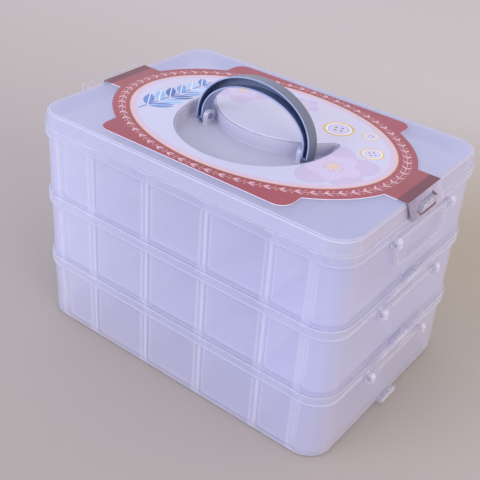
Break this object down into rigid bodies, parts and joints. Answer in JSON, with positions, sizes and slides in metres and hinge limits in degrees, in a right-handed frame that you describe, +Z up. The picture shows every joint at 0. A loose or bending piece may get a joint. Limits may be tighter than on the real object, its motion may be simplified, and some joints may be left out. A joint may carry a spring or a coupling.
{
  "type": "tiered storage box",
  "caption": "Stackable storage box: frosted trays with cross dividers under a shallow lid, with side clips, a folding carry handle and a printed card on the lid.",
  "frame": {"origin": "middle of the bottom tray's underside, at the height it rests on", "axes": "+X towards the right short side, +Y towards the back long side, +Z up"},
  "size_m": [0.2783, 0.178, 0.2049],
  "materials": {
    "frosted_plastic": "frosted, translucent",
    "handle_plastic": "satin",
    "printed_card": "coated printed card, slight sheen"
  },
  "bodies": {
    "bottom_tray": {"bottom_tray": "frosted_plastic", "bottom_divider_front_1": "frosted_plastic", "bottom_divider_front_2": "frosted_plastic", "bottom_divider_front_3": "frosted_plastic", "bottom_divider_front_4": "frosted_plastic", "bottom_divider_back_1": "frosted_plastic", "bottom_divider_back_2": "frosted_plastic", "bottom_divider_back_3": "frosted_plastic", "bottom_divider_back_4": "frosted_plastic"},
    "middle_tray": {"middle_tray": "frosted_plastic", "middle_divider_front_1": "frosted_plastic", "middle_divider_front_2": "frosted_plastic", "middle_divider_front_3": "frosted_plastic", "middle_divider_front_4": "frosted_plastic", "middle_divider_back_1": "frosted_plastic", "middle_divider_back_2": "frosted_plastic", "middle_divider_back_3": "frosted_plastic", "middle_divider_back_4": "frosted_plastic"},
    "top_tray": {"top_tray": "frosted_plastic", "top_divider_front_1": "frosted_plastic", "top_divider_front_2": "frosted_plastic", "top_divider_front_3": "frosted_plastic", "top_divider_front_4": "frosted_plastic", "top_divider_back_1": "frosted_plastic", "top_divider_back_2": "frosted_plastic", "top_divider_back_3": "frosted_plastic", "top_divider_back_4": "frosted_plastic"},
    "lid": {"lid": "frosted_plastic", "lid_card": "printed_card"},
    "handle": {"handle": "handle_plastic"},
    "bottom_clip_left": {"bottom_clip_left": "frosted_plastic"},
    "bottom_clip_right": {"bottom_clip_right": "frosted_plastic"},
    "middle_clip_left": {"middle_clip_left": "frosted_plastic"},
    "middle_clip_right": {"middle_clip_right": "frosted_plastic"},
    "top_clip_left": {"top_clip_left": "frosted_plastic"},
    "top_clip_right": {"top_clip_right": "frosted_plastic"}
  },
  "joints": [
    {"name": "middle_tray_lift", "type": "slide", "parent": "bottom_tray", "child": "middle_tray", "axis": [0, 0, 1], "range_m": [0, 0.06]},
    {"name": "top_tray_lift", "type": "slide", "parent": "middle_tray", "child": "top_tray", "axis": [0, 0, 1], "range_m": [0, 0.06]},
    {"name": "lid_lift", "type": "slide", "parent": "top_tray", "child": "lid", "axis": [0, 0, 1], "range_m": [0, 0.06]},
    {"name": "handle_fold", "type": "hinge", "parent": "lid", "child": "handle", "pos_m": [0, -0.0056, 0.1666], "axis": [1, 0, 0], "range_deg": [0, 97]},
    {"name": "bottom_clip_left_swing", "type": "hinge", "parent": "bottom_tray", "child": "bottom_clip_left", "pos_m": [-0.1295, 0, 0.0444], "axis": [0, -1, 0], "range_deg": [-14, 161]},
    {"name": "bottom_clip_right_swing", "type": "hinge", "parent": "bottom_tray", "child": "bottom_clip_right", "pos_m": [0.1295, 0, 0.0444], "axis": [0, 1, 0], "range_deg": [-14, 161]},
    {"name": "middle_clip_left_swing", "type": "hinge", "parent": "middle_tray", "child": "middle_clip_left", "pos_m": [-0.1295, 0, 0.0972], "axis": [0, -1, 0], "range_deg": [-14, 161]},
    {"name": "middle_clip_right_swing", "type": "hinge", "parent": "middle_tray", "child": "middle_clip_right", "pos_m": [0.1295, 0, 0.0972], "axis": [0, 1, 0], "range_deg": [-14, 161]},
    {"name": "top_clip_left_swing", "type": "hinge", "parent": "top_tray", "child": "top_clip_left", "pos_m": [-0.1295, 0, 0.15], "axis": [0, -1, 0], "range_deg": [-30, 145]},
    {"name": "top_clip_right_swing", "type": "hinge", "parent": "top_tray", "child": "top_clip_right", "pos_m": [0.1295, 0, 0.15], "axis": [0, 1, 0], "range_deg": [-175, 0]}
  ]
}
